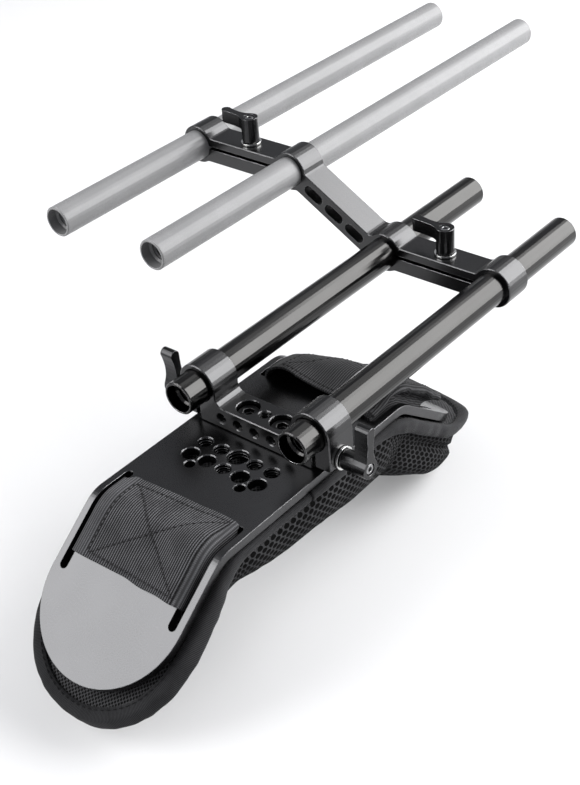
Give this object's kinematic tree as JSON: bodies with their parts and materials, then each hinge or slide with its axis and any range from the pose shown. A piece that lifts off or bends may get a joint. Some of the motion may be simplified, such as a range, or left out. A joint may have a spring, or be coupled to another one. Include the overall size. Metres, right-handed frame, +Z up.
{
  "type": "shoulder camera support rig",
  "caption": "Shoulder rig: padded saddle plate with strap slots, rod clamp, support rods and a stepped offset block that carries a second rod pair to one side.",
  "frame": {"origin": "centre of the shoulder plate's flat top face", "axes": "+Y forward along the rods, +Z up out of the plate's top face, +X to the operator's right, so the upper rods lie to the left"},
  "size_m": [0.209, 0.459, 0.1244],
  "materials": {
    "plate": "satin black anodised",
    "block": "black anodised, broken edges",
    "black_rod": "glossy black anodised",
    "silver_rod": "clear anodised",
    "lever": "black satin",
    "steel": "bright stainless",
    "bolt": "black oxide",
    "webbing": "woven nylon webbing",
    "fabric": "black woven nylon",
    "mesh": "knitted spacer mesh",
    "foam": "open cell foam"
  },
  "bodies": {
    "shoulder_mount": {"shoulder_plate": "plate", "pad_foam": "foam", "pad_mesh_cover": "mesh", "pad_top_panel": "fabric", "pad_binding": "fabric", "front_strap": "webbing", "rear_strap": "webbing", "rod_clamp": "block", "clamp_bolt_left": "bolt", "clamp_bolt_right": "bolt", "left_lever_washer": "steel", "right_lever_washer": "steel"},
    "lower_left_rod": {"lower_left_rod": "black_rod"},
    "lower_right_rod": {"lower_right_rod": "black_rod"},
    "offset_block": {"offset_rod_block": "block", "lower_lever_washer": "steel", "upper_lever_washer": "steel"},
    "upper_left_rod": {"upper_left_rod": "silver_rod"},
    "upper_right_rod": {"upper_right_rod": "silver_rod"},
    "left_lever_screw": {"left_lever_stud": "steel", "left_lever_retaining_screw": "steel", "left_lever_spring": "steel"},
    "left_lever_handle": {"left_lever_handle": "lever"},
    "right_lever_screw": {"right_lever_stud": "steel", "right_lever_retaining_screw": "steel", "right_lever_spring": "steel"},
    "right_lever_handle": {"right_lever_handle": "lever"},
    "lower_lever_screw": {"lower_lever_stud": "steel", "lower_lever_retaining_screw": "steel", "lower_lever_spring": "steel"},
    "lower_lever_handle": {"lower_lever_handle": "lever"},
    "upper_lever_screw": {"upper_lever_stud": "steel", "upper_lever_retaining_screw": "steel", "upper_lever_spring": "steel"},
    "upper_lever_handle": {"upper_lever_handle": "lever"}
  },
  "joints": [
    {"name": "lower_left_rod_slide", "type": "slide", "parent": "shoulder_mount", "child": "lower_left_rod", "axis": [0, 1, 0], "range_m": [-0.055, 0.011]},
    {"name": "lower_right_rod_slide", "type": "slide", "parent": "shoulder_mount", "child": "lower_right_rod", "axis": [0, 1, 0], "range_m": [-0.055, 0.011]},
    {"name": "offset_block_slide", "type": "slide", "parent": "lower_left_rod", "child": "offset_block", "axis": [0, 1, 0], "range_m": [-0.04, 0.045]},
    {"name": "upper_left_rod_slide", "type": "slide", "parent": "offset_block", "child": "upper_left_rod", "axis": [0, 1, 0], "range_m": [-0.19, 0.09]},
    {"name": "upper_right_rod_slide", "type": "slide", "parent": "offset_block", "child": "upper_right_rod", "axis": [0, 1, 0], "range_m": [-0.19, 0.09]},
    {"name": "left_lever_turn", "type": "hinge", "parent": "shoulder_mount", "child": "left_lever_screw", "pos_m": [-0.03975, 0.009, 0.0059], "axis": [-1, 0, 0], "range_deg": [0, 180]},
    {"name": "left_lever_lift", "type": "slide", "parent": "left_lever_screw", "child": "left_lever_handle", "axis": [-1, 0, 0], "range_m": [0, 0.0025], "stiffness_N_per_m": 600, "springref_m": -0.002, "deforming": ["left_lever_spring"]},
    {"name": "right_lever_turn", "type": "hinge", "parent": "shoulder_mount", "child": "right_lever_screw", "pos_m": [0.03975, 0.009, 0.0059], "axis": [1, 0, 0], "range_deg": [0, 180]},
    {"name": "right_lever_lift", "type": "slide", "parent": "right_lever_screw", "child": "right_lever_handle", "axis": [1, 0, 0], "range_m": [0, 0.0025], "stiffness_N_per_m": 600, "springref_m": -0.002, "deforming": ["right_lever_spring"]},
    {"name": "lower_lever_turn", "type": "hinge", "parent": "offset_block", "child": "lower_lever_screw", "pos_m": [0, 0.1393, 0.0223], "axis": [0, 0, 1], "range_deg": [0, 180]},
    {"name": "lower_lever_lift", "type": "slide", "parent": "lower_lever_screw", "child": "lower_lever_handle", "axis": [0, 0, 1], "range_m": [0, 0.0025], "stiffness_N_per_m": 600, "springref_m": -0.002, "deforming": ["lower_lever_spring"]},
    {"name": "upper_lever_turn", "type": "hinge", "parent": "offset_block", "child": "upper_lever_screw", "pos_m": [-0.1155, 0.1393, 0.0503], "axis": [0, 0, 1], "range_deg": [0, 180]},
    {"name": "upper_lever_lift", "type": "slide", "parent": "upper_lever_screw", "child": "upper_lever_handle", "axis": [0, 0, 1], "range_m": [0, 0.0025], "stiffness_N_per_m": 600, "springref_m": -0.002, "deforming": ["upper_lever_spring"]}
  ],
  "couplings": [
    {"joint": "lower_right_rod_slide", "follows": "lower_left_rod_slide", "ratio": 1}
  ]
}
